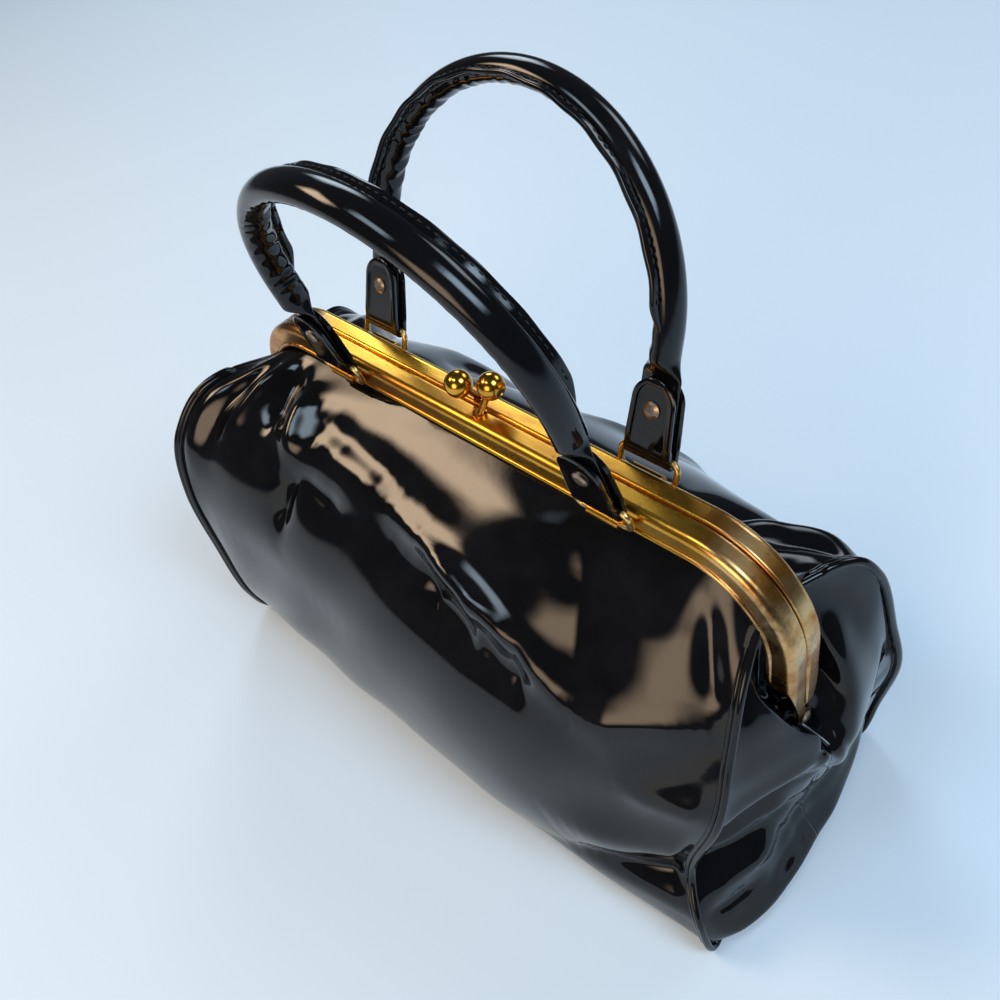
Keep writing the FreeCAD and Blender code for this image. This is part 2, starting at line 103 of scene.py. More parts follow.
# a mesh into the scene, shaded smooth, with its finish and a second one for its inner face
def finishMesh(name, mesh, material, inside=None):
    mesh.update()
    mesh.polygons.foreach_set("use_smooth", np.ones(len(mesh.polygons), bool))
    piece = bpy.data.objects.new(name, mesh)
    bpy.context.scene.collection.objects.link(piece)
    mesh.materials.append(material)
    if inside is not None:
        mesh.materials.append(inside)
    return piece


# directions along a path: the run is the step between neighbours, the side is the run cross up,
# and the normal is the side cross the run
def pathFrames(path, up):
    run = np.gradient(path, axis=0)
    run /= np.linalg.norm(run, axis=1, keepdims=True)
    side = np.cross(run, up)
    side /= np.linalg.norm(side, axis=1, keepdims=True)
    return side, np.cross(side, run)


drawnIn = 0.02  # share of a carried profile's width that is left at its closed ends


# profile (n, m, 2) carried along a path (n, 3): the path's point, plus the profile's first value
# along the side and its second along the normal; both ends are drawn in to close them
def carried(name, path, profile, material, up=(0, 1, 0), flip=False):
    side, normal = pathFrames(path, np.asarray(up, float))
    if profile.ndim == 2:
        profile = np.broadcast_to(profile, (len(path),) + profile.shape)
    p = path[:, None] + profile[..., :1] * side[:, None] + profile[..., 1:] * normal[:, None]
    first = p[:1].mean(1, keepdims=True).repeat(p.shape[1], 1)
    last = p[-1:].mean(1, keepdims=True).repeat(p.shape[1], 1)
    firstCap = first * (1 - drawnIn) + p[:1] * drawnIn
    lastCap = last * (1 - drawnIn) + p[-1:] * drawnIn
    return gridPiece(name, np.concatenate([firstCap, p, lastCap], 0), material, wrapColumns=True, flip=flip)


# rings and lean: each handle stands on rings that turn in the frame's lugs
lean = {"front": (-1, 12.0), "rear": (1, 19.0)}  # side of the frame, degrees from upright
ringLook = {"lugOut": 2.3, "lugDrop": 7.0, "rise": 9.0, "place": 71.0}
lugY = outerY + ringLook["lugOut"]
lugZ = metal["top"] - ringLook["lugDrop"]


# points built upright above a ring's bar: raised by the ring, turned in y and z by the lean,
# then moved to the axis of the lugs
def leaned(points, end):
    side, angle = lean[end]
    a = math.radians(angle) * -side
    q = np.asarray(points, float) + [0, 0, ringLook["rise"]]
    y = q[..., 1] * math.cos(a) - q[..., 2] * math.sin(a)
    z = q[..., 1] * math.sin(a) + q[..., 2] * math.cos(a)
    return np.stack([q[..., 0], y + side * lugY, z + lugZ], -1)


# short ways to add nodes to a finish or a lamp
class Nodes:
    def __init__(self, tree):
        self.tree = tree

    # a node, with its properties or sockets set by name
    def add(self, kind, **values):
        node = self.tree.nodes.new("ShaderNode" + kind)
        for key, value in values.items():
            if hasattr(node, key):
                setattr(node, key, value)
            else:
                node.inputs[key.replace("_", " ")].default_value = value
        return node

    # one node's result led to another's socket
    def link(self, a, b):
        self.tree.links.new(a, b)

    # a socket takes another node's result, or a plain value
    def feed(self, socket, value):
        if hasattr(value, "links"):
            self.link(value, socket)
        else:
            socket.default_value = value

    # noise on Object coordinates, stretched where asked
    def noise(self, scale, detail=3.0, roughness=0.5, stretch=None, distortion=0.0):
        node = self.add("TexNoise", Scale=scale, Detail=detail, Roughness=roughness, Distortion=distortion)
        source = self.coords.outputs["Object"]
        if stretch is not None:
            mapping = self.add("Mapping", Scale=stretch)
            self.link(source, mapping.inputs["Vector"])
            source = mapping.outputs["Vector"]
        self.link(source, node.inputs["Vector"])
        return node.outputs["Fac"]

    # straight scale: a to b becomes low to high
    def spread(self, source, low, high, a=0.3, b=0.7):
        node = self.add("MapRange", From_Min=a, From_Max=b, To_Min=low, To_Max=high)
        self.link(source, node.inputs["Value"])
        return node.outputs["Result"]

    # colour a turned to colour b by a factor
    def mix(self, factor, a, b):
        node = self.add("Mix", data_type="RGBA")
        self.feed(node.inputs["Factor"], factor)
        self.feed(node.inputs[6], a if hasattr(a, "links") else a + (1,))
        self.feed(node.inputs[7], b if hasattr(b, "links") else b + (1,))
        return node.outputs[2]

    # a calculation with two values
    def math(self, kind, a, b):
        node = self.add("Math", operation=kind)
        self.feed(node.inputs[0], a)
        self.feed(node.inputs[1], b)
        return node.outputs[0]

    # a height turned to slopes of the surface, on top of another bump where asked
    def bump(self, height, strength, distance, after=None):
        node = self.add("Bump", Strength=strength, Distance=distance)
        self.link(height, node.inputs["Height"])
        if after is not None:
            self.link(after, node.inputs["Normal"])
        return node.outputs["Normal"]

    # the finish's own sockets by name
    def set(self, **values):
        for key, value in values.items():
            self.feed(self.shader.inputs[key.replace("_", " ")], value)
        return self.material


# a new finish with its shader and coordinates at hand
def newFinish(name):
    material = bpy.data.materials.new(name)
    material.use_nodes = True
    n = Nodes(material.node_tree)
    n.material = material
    n.shader = n.tree.nodes["Principled BSDF"]
    n.coords = n.tree.nodes.new("ShaderNodeTexCoord")
    return n


vinylLook = {
    "colour": (0.0035, 0.0035, 0.0042), "smudge": (0.008, 0.008, 0.0095),
    "gloss": 0.035, "dull": 0.085, "index": 1.41,
    "markScale": 38, "waveScale": 24, "crinkleScale": 210,
    "waveDepth": 0.002, "crinkleDepth": 0.0004,  # metres
}


# black patent: a clear gloss over black, broad waves, faint crinkle and handling marks
def patentVinyl(name, wave, crinkle):
    look = vinylLook
    n = newFinish(name)
    marks = n.noise(look["markScale"], 5, 0.6)
    broad = n.noise(look["waveScale"], 2, 0.4, distortion=0.4)
    fine = n.noise(look["crinkleScale"], 3, 0.55)
    colour = n.mix(n.spread(marks, 0, 1, 0.45, 0.75), look["colour"], look["smudge"])
    gloss = n.spread(marks, look["gloss"], look["dull"], 0.35, 0.8)
    waved = n.bump(broad, wave, look["waveDepth"])
    normal = n.bump(fine, crinkle, look["crinkleDepth"], waved)
    return n.set(Base_Color=colour, Roughness=gloss, IOR=look["index"], Normal=normal)


giltLook = {
    "gold": (0.80, 0.42, 0.05), "copper": (0.42, 0.16, 0.03),
    "brass": (0.74, 0.50, 0.24), "dark": (0.13, 0.06, 0.02),
    "cloudScale": 30, "speckScale": 420, "paleScale": 36, "blotchScale": 58,
    "endsFrom": 0.085, "endsTo": 0.135,  # metres from the middle, where the bends lie
    # how much copper, pale brass patches and dark blotches are painted in toward the bends, and dark specks
    # all over
    "endCopper": 0.7, "blotchShare": 0.8, "speck": 0.7, "roughSpread": 0.16,
    "speckBump": (0.08, 0.0002), "cloudBump": (0.1, 0.001),  # strength, metres
}


# lacquered gilt: clouded gold with coppery tarnish; toward the bends at the two ends it is painted
# more coppery, with pale brass patches and dark blotches; the ends are found from the distance along x
def giltMetal(name, paleShare, rough):
    look = giltLook
    n = newFinish(name)
    cloud = n.noise(look["cloudScale"], 4, 0.6, stretch=(0.5, 1.6, 1.6))
    specks = n.noise(look["speckScale"], 4, 0.7)
    split = n.add("SeparateXYZ")
    n.link(n.coords.outputs["Object"], split.inputs["Vector"])
    reach = n.math("ABSOLUTE", split.outputs["X"], 0.0)
    ends = n.spread(reach, 0.0, 1.0, look["endsFrom"], look["endsTo"])
    clouded = n.spread(cloud, 0, 1, 0.40, 0.66)
    # toward the bends the gold is painted more coppery
    copperShare = n.math("ADD", clouded, n.math("MULTIPLY", ends, look["endCopper"]))
    gold = n.mix(copperShare, look["gold"], look["copper"])
    # pale brass patches painted in toward the bends
    paleAtEnds = n.math("MULTIPLY", ends, n.spread(n.noise(look["paleScale"], 4, 0.6), 0, paleShare, 0.44, 0.62))
    paled = n.mix(paleAtEnds, gold, look["brass"])
    # dark blotches painted in toward the bends
    blotches = n.spread(n.noise(look["blotchScale"], 5, 0.65), 0, look["blotchShare"], 0.50, 0.64)
    blotched = n.mix(n.math("MULTIPLY", ends, blotches), paled, look["dark"])
    colour = n.mix(n.spread(specks, 0, look["speck"], 0.64, 0.74), blotched, look["dark"])
    gloss = n.spread(cloud, rough, rough + look["roughSpread"], 0.3, 0.8)
    normal = n.bump(specks, *look["speckBump"], n.bump(cloud, *look["cloudBump"]))
    return n.set(Base_Color=colour, Metallic=1.0, Roughness=gloss, Normal=normal)


turnedLook = {"cloudScale": 260, "roughSpread": 0.2, "dent": 0.12, "dentDepth": 0.0002}


# small cast or turned metal with dull patches
def turnedMetal(name, bright, dull, rough):
    look = turnedLook
    n = newFinish(name)
    cloud = n.noise(look["cloudScale"], 4, 0.6)
    colour = n.mix(n.spread(cloud, 0, 1, 0.4, 0.7), bright, dull)
    gloss = n.spread(cloud, rough, rough + look["roughSpread"])
    normal = n.bump(cloud, look["dent"], look["dentDepth"])
    return n.set(Base_Color=colour, Metallic=1.0, Roughness=gloss, Normal=normal)


weaveLook = {"mottleScale": 60, "unevenness": 0.6, "rough": 0.85, "rise": 0.5, "depth": 0.0004}


# plain weave: the product of two crossed sets of fine waves, over a mottled cloth colour
def wovenCloth(name, light, dark, scale):
    look = weaveLook
    n = newFinish(name)
    mottle = n.noise(look["mottleScale"], 4, 0.6)
    waves = []
    for direction in ("X", "Z"):
        wave = n.add("TexWave", bands_direction=direction, Scale=scale, Distortion=look["unevenness"])
        n.link(n.coords.outputs["Object"], wave.inputs["Vector"])
        waves.append(wave.outputs["Fac"])
    weave = n.math("MULTIPLY", waves[0], waves[1])
    colour = n.mix(n.math("MULTIPLY", weave, mottle), dark, light)
    normal = n.bump(weave, look["rise"], look["depth"])
    return n.set(Base_Color=colour, Roughness=look["rough"], Normal=normal)


skinFinish = patentVinyl("bagPatentVinyl", 0.10, 0.035)
gripFinish = patentVinyl("gripPatentVinyl", 0.16, 0.08)
giltFinish = giltMetal("frameGilt", 0.95, 0.22)
ballFinish = giltMetal("claspGilt", 0.2, 0.10)
ringFinish = turnedMetal("ringBrass", (0.78, 0.52, 0.2), (0.32, 0.19, 0.07), 0.22)
rivetFinish = turnedMetal("rivetBronze", (0.36, 0.28, 0.21), (0.13, 0.09, 0.06), 0.3)
clothFinish = wovenCloth("liningCloth", (0.10, 0.085, 0.075), (0.03, 0.026, 0.024), 420.0)
boardFinish = wovenCloth("pulpBoard", (0.5, 0.42, 0.3), (0.36, 0.3, 0.22), 90.0)
cordFinish = wovenCloth("fillerCord", (0.62, 0.55, 0.45), (0.4, 0.34, 0.27), 500.0)
threadFinish = wovenCloth("blackThread", (0.035, 0.033, 0.032), (0.012, 0.012, 0.012), 900.0)
print("stage: finishes made")

# the bag's side: rows from the frame's channel down to the middle of the base
# each row gives x, y, z at the left end, left of middle, right of middle and the right end
frontRows = {
    "neck": [(-129, -6, 150), (-55, -5, 160.0), (55, -5, 160.0), (129, -6, 150)],
    "shoulder": [(-142, -36, 149), (-58, -24, 150.5), (58, -23, 149.5), (134, -22, 134)],
    "slope": [(-150, -62, 131), (-60, -48, 130), (60, -46, 128), (138, -36, 108)],
    "ridge": [(-151, -73, 98), (-61, -68, 97), (60, -67, 96), (141, -49, 80)],
    "side": [(-150, -74, 58), (-61, -75, 58), (60, -75, 57), (132.5, -55, 43)],
    "foot": [(-148, -72, 18), (-60, -74.5, 17), (60, -74, 17), (143, -65, 20)],
    "edge": [(-147, -66, 3.0), (-60, -69, 3.0), (60, -69, 3.0), (146, -63, 3.0)],
    "under": [(-145, -54, 0.4), (-60, -57, 0.4), (60, -57, 0.4), (144, -50, 0.4)],
    "keel": [(-144, 0, 0.4), (-60, 0, 0.4), (60, 0, 0.4), (143, 0, 0.4)],
}
rearRows = {
    "neck": [(-129, -6, 150), (-55, -5, 160.0), (55, -5, 160.0), (129, -6, 150)],
    "shoulder": [(-138, -28, 144), (-58, -24, 152), (58, -24, 152), (138, -27, 147)],
    "slope": [(-144, -46, 124), (-60, -48, 130), (60, -48, 131), (146, -40, 134)],
    "ridge": [(-147, -61, 92), (-61, -67, 96), (60, -68, 98), (149, -51, 94)],
    "side": [(-148, -66, 56), (-61, -74, 58), (60, -74, 58), (151, -57, 62)],
    "foot": [(-147, -67, 18), (-60, -74, 17), (60, -74, 17), (143, -61, 18)],
    "edge": [(-146, -62, 3.0), (-60, -69, 3.0), (60, -69, 3.0), (141, -57, 3.0)],
    "under": [(-145, -52, 0.4), (-60, -57, 0.4), (60, -57, 0.4), (139, -47, 0.4)],
    "keel": [(-144, 0, 0.4), (-60, 0, 0.4), (60, 0, 0.4), (143, 0, 0.4)],
}
rowPlace = [0.0, 0.09, 0.23, 0.38, 0.52, 0.67, 0.75, 0.82, 1.0]
stations = [-1.0, -0.4, 0.4, 1.0]

# folds along bent lines: start, the point it bends toward and end as (along, down), then half width
# and height in mm; a positive height stands out, a negative one sinks in
frontFolds = [
    ((-0.75, 0.02), (-0.70, 0.09), (-0.66, 0.17), 5, -5.5),
    ((-0.81, 0.02), (-0.80, 0.12), (-0.84, 0.26), 7, 4.0),
    ((-0.88, 0.05), (-0.90, 0.15), (-0.87, 0.28), 7, -4.5),
    ((-0.95, 0.05), (-0.97, 0.20), (-0.95, 0.36), 9, 3.0),
    ((-0.66, 0.05), (-0.60, 0.14), (-0.53, 0.22), 6, 4.5),
    ((-0.53, 0.21), (-0.55, 0.28), (-0.57, 0.38), 5, -4.5),
    ((-0.54, 0.22), (-0.42, 0.245), (-0.28, 0.25), 6, -3.5),
    ((-0.50, 0.15), (-0.32, 0.17), (-0.14, 0.19), 13, 3.0),
    ((-0.58, 0.09), (-0.36, 0.13), (-0.05, 0.155), 8, -2.0),
    ((-0.22, 0.19), (0.12, 0.22), (0.54, 0.29), 6, 4.0),
    ((-0.12, 0.26), (0.20, 0.29), (0.52, 0.34), 11, -6.5),
    ((-0.01, 0.22), (0.06, 0.27), (0.09, 0.32), 4, -2.2),
    ((0.19, 0.24), (0.24, 0.29), (0.28, 0.34), 4, 2.4),
    ((0.36, 0.26), (0.39, 0.30), (0.42, 0.36), 4, -2.2),
    ((0.68, 0.08), (0.76, 0.17), (0.82, 0.26), 36, 2.5),
    ((0.57, 0.32), (0.74, 0.285), (0.99, 0.185), 10, 4.5),
    ((0.45, 0.05), (0.52, 0.18), (0.56, 0.31), 13, -3.5),
    ((0.54, 0.67), (0.86, 0.575), (1.35, 0.47), 7, -6.0),
    ((0.50, 0.58), (0.85, 0.51), (1.20, 0.42), 12, 3.5),
    ((0.72, 0.41), (0.88, 0.39), (1.02, 0.36), 7, 2.5),
    ((-0.95, 0.43), (-0.60, 0.46), (-0.20, 0.48), 22, -2.0),
    ((0.86, 0.02), (0.90, 0.09), (0.95, 0.18), 6, -3.0),
    ((-0.02, 0.215), (0.24, 0.25), (0.66, 0.33), 7, 4.5),
]
rearFolds = [
    ((-0.80, 0.03), (-0.86, 0.17), (-0.96, 0.34), 7, 4.5),
    ((-0.68, 0.03), (-0.74, 0.16), (-0.84, 0.30), 6, -4.5),
    ((-0.35, 0.10), (-0.18, 0.27), (0.08, 0.40), 11, -5.0),
    ((0.05, 0.20), (0.22, 0.32), (0.46, 0.44), 7, 4.0),
    ((0.66, 0.03), (0.70, 0.16), (0.82, 0.30), 6, -4.5),
    ((0.78, 0.02), (0.84, 0.14), (0.97, 0.30), 6, 4.5),
    ((0.86, 0.02), (0.91, 0.12), (0.99, 0.22), 4, -3.0),
    ((0.38, 0.38), (0.62, 0.45), (0.98, 0.56), 10, -2.6),
    ((-0.98, 0.58), (-0.70, 0.47), (-0.28, 0.42), 12, -2.6),
    ((-0.60, 0.20), (-0.35, 0.22), (-0.10, 0.20), 12, 3.0),
]


# height of the channel's centre line at x, following the frame's bend: the bend's centre plus
# the upright side of a right triangle whose long side is the bend's radius less the depth
def slotHeight(x, depth):
    beyond = np.clip(np.abs(x) - straight, 0, metal["bend"] - depth - 0.5)  # ends just short of upright
    return bendZ + np.sqrt((metal["bend"] - depth) ** 2 - beyond ** 2)


foldLook = {"steps": 15, "blend": 2.0, "start": (-0.1, 0.3), "end": (0.6, 1.0), "fade": 0.85}


# one fold: a crest that falls off with the distance from a bent line and fades at the line's two ends
# the crest is e to one less the root of one plus twice the square of the distance over the width
# the line is a parabola from a to c that bends toward b, cut into short steps; the place along it is
# the mean over the steps, each weighed by e to the minus of how much further off it is than the nearest
def foldHeight(u, v, a, b, c, width, height, span):
    look = foldLook
    k = np.linspace(0, 1, look["steps"])[:, None]
    line = (np.array(a) * (1 - k) ** 2 + 2 * np.array(b) * k * (1 - k) + np.array(c) * k ** 2) * span
    step = line[1:] - line[:-1]
    x = u[..., None] * span[0] - line[:-1, 0]
    y = v[..., None] * span[1] - line[:-1, 1]
    part = np.clip((x * step[:, 0] + y * step[:, 1]) / (step ** 2).sum(1), 0, 1)
    off = np.hypot(x - part * step[:, 0], y - part * step[:, 1])
    weight = np.exp(-(off - off.min(-1, keepdims=True)) / look["blend"])
    pieces = look["steps"] - 1
    near = ((part + np.arange(pieces)) * weight).sum(-1) / weight.sum(-1) / pieces
    crest = np.exp(1 - np.sqrt((off.min(-1) / width) ** 2 * 2.0 + 1.0))
    return height * crest * ease(*look["start"], near) * (1 - look["fade"] * ease(*look["end"], near))


# outward normals of a grid of points: the step down cross the step along, over its own length
def gridNormals(p):
    n = np.cross(np.gradient(p, axis=1), np.gradient(p, axis=0))
    return n / np.maximum(np.linalg.norm(n, axis=-1, keepdims=True), 1e-9)


skinLook = {
    "along": 260, "down": 184, "thick": 1.5,
    "span": np.array([150.0, 250.0]),  # half length and depth of a side, in mm
    "neck": (-5.0, 5.0, 1.0),  # y and depth of the edge inside the channel, drop of the next row
    "neckFold": (0.55, 0.0, 0.1),  # share of a fold's height at the channel, and where it is full
    "heldTop": (0.0, 0.06), "heldBase": (0.66, 0.78), "heldEnds": (0.93, 1.0), "endHold": 0.9,
    "gathers": 46, "gatherSway": (2, 9), "gatherEnds": (0.45, 0.9),  # sway: how much, pitch
    "gatherPlace": (0.07, 0.06), "gatherHeight": 0.9,
    "waveAlong": (5, 2.3), "waveDown": (7, 1.9),  # first and step of each set of waves
    "waveLeast": 0.1, "waveMore": 0.2, "waveFull": (0.1, 0.3),
}


# a side of the bag: rows splined down the side and along it, then moved along the normal by the sum
# of the folds, the gathers below the channel and some broad sine waves, less near the held edges
def sideSurface(rows, folds, seed, gathered):
    look = skinLook
    neckY, neckDepth, neckDrop = look["neck"]
    u = np.linspace(-1, 1, look["along"])
    v = np.linspace(0, 1, look["down"])
    net = np.stack([through(stations, rows[name], u) for name in rows], 1)
    net[:, 0, 2] = slotHeight(net[:, 0, 0], metal["deep"]) - neckDrop
    p = np.stack([through(rowPlace, net[i], v) for i in range(len(u))], 0)
    uu, vv = np.meshgrid(u, v, indexing="ij")
    atNeck, neckStart, neckFull = look["neckFold"]
    rise = sum(foldHeight(uu, vv, *fold, look["span"]) for fold in folds)
    rise = rise * (atNeck + (1 - atNeck) * ease(neckStart, neckFull, vv))
    heldEnds = 1 - look["endHold"] * ease(*look["heldEnds"], np.abs(uu))
    free = ease(*look["heldTop"], vv) * (1 - ease(*look["heldBase"], vv)) * heldEnds
    phase = np.random.default_rng(seed).uniform(0, 6.28, 8)
    atEnds = ease(*look["gatherEnds"], -uu) + gathered * ease(*look["gatherEnds"], uu)
    swayBy, swayPitch = look["gatherSway"]
    swayed = swayBy * np.sin(uu * swayPitch + phase[1])
    gather = np.sin(uu * look["gathers"] + phase[0] + swayed) * atEnds
    gather = gather * hump(vv, *look["gatherPlace"]) * look["gatherHeight"]
    alongFirst, alongStep = look["waveAlong"]
    downFirst, downStep = look["waveDown"]
    wave = sum(np.sin(uu * (alongFirst + alongStep * k) + vv * (downFirst + downStep * k) + phase[k])
               for k in range(2, 7))
    wave = wave * (look["waveLeast"] + look["waveMore"] * ease(*look["waveFull"], vv))
    p = p + gridNormals(p) * ((rise + gather + wave) * free)[..., None]
    neck = np.stack([p[:, 0, 0], p[:, 0, 1] * 0 + neckY, slotHeight(p[:, 0, 0], neckDepth)], -1)
    return np.concatenate([neck[:, None], p], 1)


# a live wall on a sheet, with the second finish on its inner face where asked
def addWall(piece, thickness, offset=-1.0, inside=False):
    wall = piece.modifiers.new("wall", "SOLIDIFY")
    wall.thickness = thickness * mm
    wall.offset = offset
    if inside:
        wall.material_offset = 1
        wall.material_offset_rim = 0


# a soft piece has its place baked into its points
def follow(piece):
    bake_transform(piece)


sides = {}
# rows, folds, seed of the waves and how much the right hand end is gathered
sideLook = {"front": (frontRows, frontFolds, 3, 0.15), "rear": (rearRows, rearFolds, 8, 1.0)}
for end, look in sideLook.items():
    p = sideSurface(*look)
    if end == "rear":
        p = p * [1, -1, 1]
    sides[end] = p
    skin = gridPiece(end + "Skin", p, skinFinish, flip=end == "front", inside=clothFinish)
    addWall(skin, skinLook["thick"], inside=True)
    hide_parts(end + "_panel", end + "_lining")
    follow(skin)
    if end == "front":
        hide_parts("base_wrap")
print("stage: sides made")

# end gussets: from each seam the sheet runs out over a crest and back in to the frame leg,
# below the hinge it stands out, and its last row turns in over the base
# each row: place down the seam, then x, y, z of the flank, crest, hollow and centre,
# in mm for the right hand front half
gussetRows = {
    "deep": [
        (0.00, (130, -5.9, 150), (131.5, -5.6, 149.5), (132.8, -5.3, 149), (134, -5, 148)),
        (0.11, (130, -18, 134), (129, -13, 132), (131, -8.5, 130), (134.4, -5.2, 128)),
        (0.20, (134, -24, 122), (137, -18, 122), (132, -11, 116), (134.4, -5.2, 114)),
        (0.29, (139, -28, 112), (144, -16, 112), (134, -11.5, 106), (134.4, -5.2, 104)),
        (0.37, (141, -32, 101), (149, -12, 101), (144, -10.8, 97), (139, -3, 95)),
        (0.44, (142, -36, 90), (154, -6, 91), (148, -4.5, 87.5), (141, -0.3, 86)),
        (0.50, (142, -38, 80), (153, -12, 82), (157.5, -4, 82), (156, 0, 80)),
        (0.57, (140, -40, 66), (147, -20, 69), (155, -8, 70), (158, 0, 70)),
        (0.65, (137, -42, 50), (143, -25, 52), (149, -12, 54), (153, 0, 55)),
        (0.74, (140, -47, 34), (146, -28, 32), (146, -12, 34), (148, 0, 36)),
        (0.84, (149, -50, 15), (151, -34, 15), (149, -14, 16), (148, 0, 18)),
        (0.94, (152, -47, 3), (154.5, -32, 3), (154.5, -14, 3), (153, 0, 3)),
        (0.97, (147, -42, 0.9), (148, -28, 0.9), (148, -12, 0.9), (147, 0, 0.9)),
        (1.00, (141, -42, 2.0), (140.5, -28, 2.0), (140.5, -12, 2.0), (140, 0, 2.0)),
    ],
    "broad": [
        (0.00, (130, -5.9, 150), (131.5, -5.6, 149.5), (132.8, -5.3, 149), (134, -5, 148)),
        (0.11, (132, -20, 142), (130, -14, 138), (131, -9, 133), (134.4, -5.2, 129)),
        (0.20, (137, -27, 131), (138, -18, 123), (133, -11.5, 118), (134.4, -5.2, 115)),
        (0.29, (143, -31, 118), (148, -18, 110), (135, -12, 107), (134.4, -5.2, 104)),
        (0.37, (149, -34, 104), (154, -17, 98), (145, -11, 97), (139, -3, 95)),
        (0.44, (152, -37, 90), (158, -14, 85), (150, -6, 86), (141, -0.3, 86)),
        (0.50, (153, -38, 78), (159.5, -13, 74), (158.5, -5, 79), (156, 0, 80)),
        (0.57, (150, -38, 64), (157, -16, 62), (159.5, -6, 66), (158, 0, 70)),
        (0.65, (146, -38, 51), (150, -22, 48), (154, -9, 52), (153, 0, 55)),
        (0.74, (144, -42, 34), (147, -25, 31), (147, -11, 34), (148, 0, 36)),
        (0.84, (144, -46, 15), (148, -30, 14), (149, -13, 16), (148, 0, 18)),
        (0.94, (145, -44, 3), (149, -30, 3), (152, -14, 3), (153, 0, 3)),
        (0.97, (142, -40, 0.9), (146, -27, 0.9), (147, -12, 0.9), (147, 0, 0.9)),
        (1.00, (136.5, -40, 2.0), (138, -27, 2.0), (139.5, -12, 2.0), (140, 0, 2.0)),
    ],
}
gussetLook = {
    "half": 90, "knots": [0.0, 0.3, 0.55, 0.78, 1.0], "seamShare": 0.80,
    "span": np.array([60.0, 205.0]),  # half width and depth of an end, in mm
    "heldSeam": 0.15, "heldTop": (0.38, 0.5), "heldBase": (0.85, 0.95),
    "crinkle": 0.35, "crinkleDown": (31, 17), "crinkleAcross": (9, 13),  # mm, waves of both sets
    "sway": (2, 5),  # how much, pitch
}

# folds of an end, as those of a side: 0 is the front seam and 2 the rear one, then down the seam
endFolds = [
    ((0.06, 0.62), (0.45, 0.60), (1.15, 0.57), 6, -4.6),
    ((0.10, 0.55), (0.35, 0.53), (0.75, 0.49), 6, 2.2),
    ((0.20, 0.67), (0.50, 0.65), (0.86, 0.66), 4, 2.6),
    ((-0.15, 0.69), (0.35, 0.69), (1.10, 0.73), 5, -4.5),
    ((0.15, 0.76), (0.40, 0.77), (0.75, 0.75), 4, 2.2),
    ((0.10, 0.82), (0.35, 0.80), (0.60, 0.83), 3.5, -2.0),
    ((0.95, 0.62), (1.30, 0.66), (1.90, 0.64), 6, -2.6),
    ((1.10, 0.70), (1.45, 0.73), (1.80, 0.70), 5, 2.0),
    ((0.70, 0.79), (1.15, 0.82), (1.70, 0.79), 5, -2.2),
    ((1.30, 0.55), (1.60, 0.57), (1.90, 0.54), 7, -1.8),
]


# an end: rows splined down both seams, then across from the front seam over the middle to the
# rear one, and moved along x by the sum of its folds and a crinkle of two crossed sine waves
def endSurface(frontSeam, rearSeam, frontTable, rearTable, side, seed):
    look = gussetLook
    t = np.linspace(0, 1, len(frontSeam))
    s = np.linspace(0, 2, 2 * look["half"] - 1)
    places = [row[0] for row in frontTable]
    front, rear = (through(places, np.array([row[1:] for row in rows], float) * [side, way, 1], t)
                   for rows, way in ((frontTable, 1), (rearTable, -1)))
    net = np.concatenate([frontSeam[:, None], front, rear[:, -2::-1], rearSeam[:, None]], 1)
    knots = look["knots"] + [2 - k for k in look["knots"][-2::-1]]
    p = through(knots, net.swapaxes(0, 1), s).swapaxes(0, 1)
    tt, ss = np.meshgrid(t, s, indexing="ij")
    phase = np.random.default_rng(seed).uniform(0, 6.28, 4)
    (down, downCrossed), (across, acrossCrossed) = look["crinkleDown"], look["crinkleAcross"]
    swayBy, swayPitch = look["sway"]
    swayed = swayBy * np.sin(ss * swayPitch + phase[1])
    crossed = np.sin(ss * acrossCrossed - tt * downCrossed + phase[2])
    crinkle = np.sin(tt * down + ss * across + phase[0] + swayed) * crossed
    rise = sum(foldHeight(ss, tt, *fold, look["span"]) for fold in endFolds)
    rise = rise + look["crinkle"] * crinkle
    fromSeams = ease(0, look["heldSeam"], ss) * (1 - ease(2 - look["heldSeam"], 2, ss))
    free = fromSeams * ease(*look["heldTop"], tt) * (1 - ease(*look["heldBase"], tt))
    p[..., 0] += side * rise * free
    return p


seams = {}
for sideName, side, column in (("right", 1, -1), ("left", -1, 0)):
    for end in ("front", "rear"):
        edge = sides[end][column, 1:]
        seams[sideName, end] = edge[:int(len(edge) * gussetLook["seamShare"])]
    kinds = ("deep", "broad") if side > 0 else ("broad", "deep")
    tables = [gussetRows[k] for k in kinds]
    whole = endSurface(seams[sideName, "front"], seams[sideName, "rear"], *tables, side, 5 + side)
    middle = gussetLook["half"]
    for end, p in (("front", whole[:, :middle]), ("rear", whole[:, :middle - 2:-1])):
        name = sideName + end.capitalize() + "Gusset"
        gusset = gridPiece(name, p, skinFinish, flip=(side > 0) == (end == "rear"), inside=clothFinish)
        addWall(gusset, skinLook["thick"], inside=True)
        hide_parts(f"{end}_{sideName}_wing")
        follow(gusset)
        if end == "front":
            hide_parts(sideName + "_gusset")
print("stage: gussets made")

